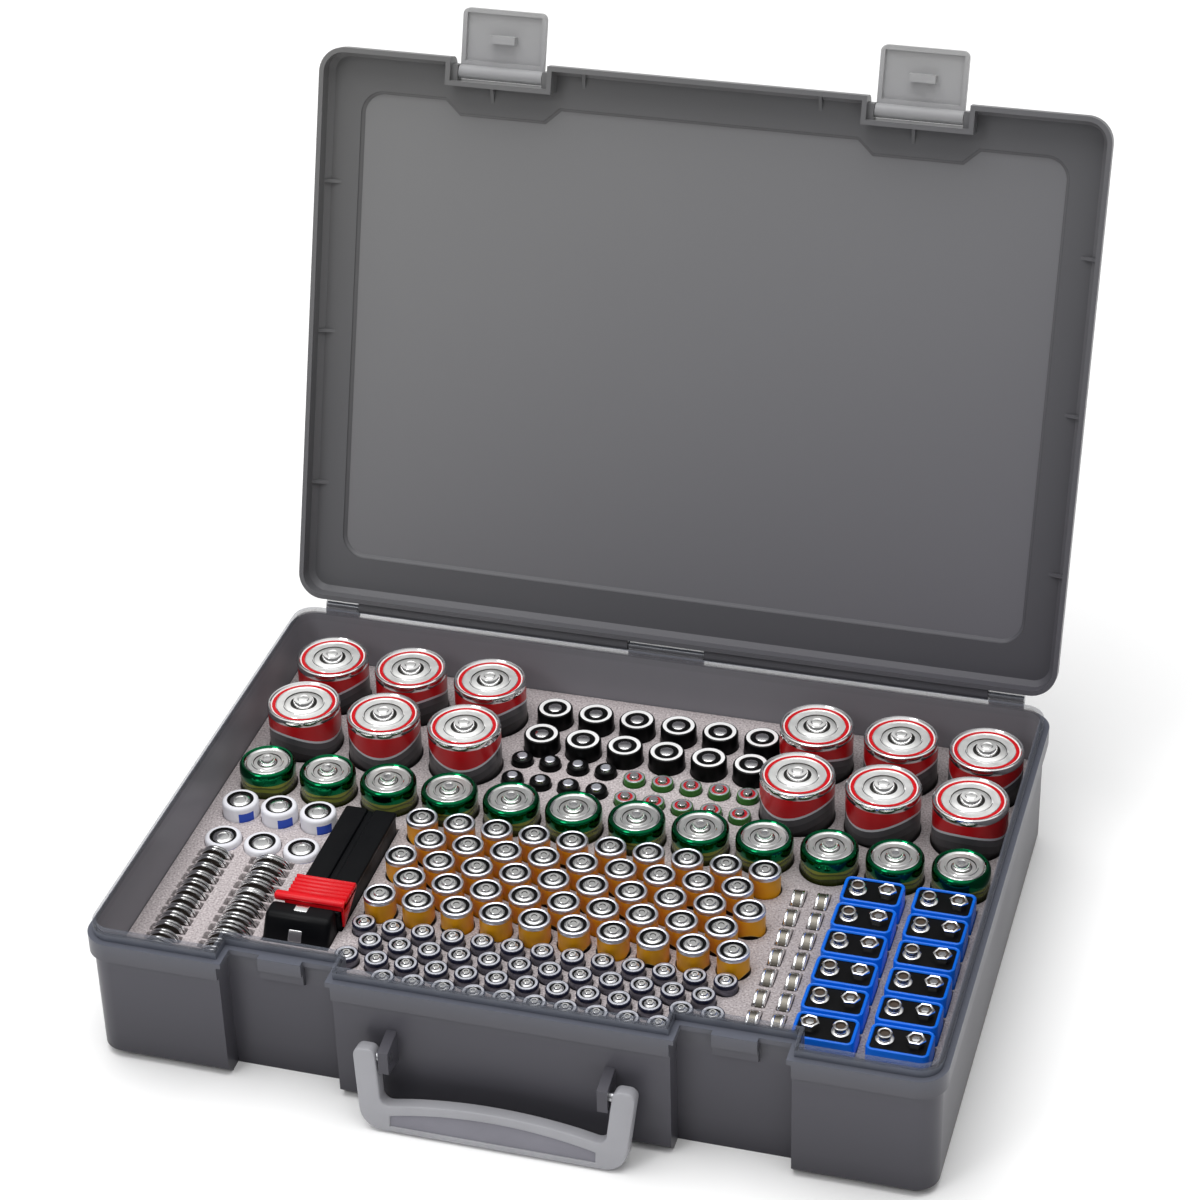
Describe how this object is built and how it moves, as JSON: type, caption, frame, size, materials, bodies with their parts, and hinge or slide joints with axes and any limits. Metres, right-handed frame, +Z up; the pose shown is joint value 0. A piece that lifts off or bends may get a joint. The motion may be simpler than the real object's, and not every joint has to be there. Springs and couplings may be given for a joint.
{
  "type": "battery storage case",
  "caption": "Hinged-lid carrying case for household cells: smoky tray with foam insert, latched lid, folding front handle and a slide tester.",
  "frame": {"origin": "on the surface that the case stands on, under the middle of the base", "axes": "+Z up, -Y towards the handle and latches, +X to the right seen from the handle's side"},
  "size_m": [0.366, 0.3751, 0.3402],
  "materials": {
    "case_plastic": "smoky translucent moulded plastic",
    "lid_plastic": "smoky translucent moulded plastic",
    "latch_plastic": "milky translucent plastic",
    "handle_plastic": "light grey satin plastic",
    "pin_steel": "plain steel rod",
    "foam": "closed-cell foam, fine speckle",
    "red_cell": "printed metal jacket",
    "green_cell": "printed metal jacket",
    "amber_cell": "printed metal jacket",
    "grey_cell": "printed metal jacket",
    "black_cell": "printed metal jacket",
    "short_cell": "printed metal jacket",
    "white_cell": "printed metal jacket",
    "blue_cell": "printed metal jacket",
    "coin_metal": "stainless cell cans",
    "contact_metal": "plated contacts",
    "tester_plastic": "black moulded plastic",
    "slider_plastic": "red moulded plastic"
  },
  "bodies": {
    "case": {"base_shell": "case_plastic", "foam_insert": "foam", "hinge_pin": "pin_steel", "handle_pin_left": "pin_steel", "handle_pin_right": "pin_steel", "large_cells": "red_cell", "middle_cells": "green_cell", "finger_cells": "amber_cell", "slim_cells": "grey_cell", "camera_cells": "black_cell", "short_dark_cells": "black_cell", "short_bright_cells": "short_cell", "white_cells": "white_cell", "square_cells": "blue_cell", "round_snaps": "contact_metal", "hex_snaps": "contact_metal", "small_coin_cells": "coin_metal", "large_coin_cells": "coin_metal", "button_cells": "coin_metal", "tester_body": "tester_plastic", "tester_nose": "tester_plastic", "tester_front_contact": "contact_metal", "tester_top_contact": "contact_metal"},
    "lid": {"lid_shell": "lid_plastic", "latch_pin_left": "pin_steel", "latch_pin_right": "pin_steel"},
    "latch_left": {"latch_left": "latch_plastic"},
    "latch_right": {"latch_right": "latch_plastic"},
    "handle": {"handle": "handle_plastic"},
    "tester_slider": {"tester_slider": "slider_plastic"}
  },
  "joints": [
    {"name": "lid_hinge", "type": "hinge", "parent": "case", "child": "lid", "pos_m": [0, 0.1345, 0.0665], "axis": [1, 0, 0], "range_deg": [0, 108]},
    {"name": "latch_left_hinge", "type": "hinge", "parent": "lid", "child": "latch_left", "pos_m": [-0.09675, 0.21659, 0.31268], "axis": [1, 0, 0], "range_deg": [0, 90]},
    {"name": "latch_right_hinge", "type": "hinge", "parent": "lid", "child": "latch_right", "pos_m": [0.09675, 0.21659, 0.31268], "axis": [1, 0, 0], "range_deg": [0, 90]},
    {"name": "handle_hinge", "type": "hinge", "parent": "case", "child": "handle", "pos_m": [0, -0.138, 0.0335], "axis": [-1, 0, 0], "range_deg": [-15, 166]},
    {"name": "tester_slide", "type": "slide", "parent": "case", "child": "tester_slider", "axis": [0, 1, 0], "range_m": [0, 0.05]}
  ]
}
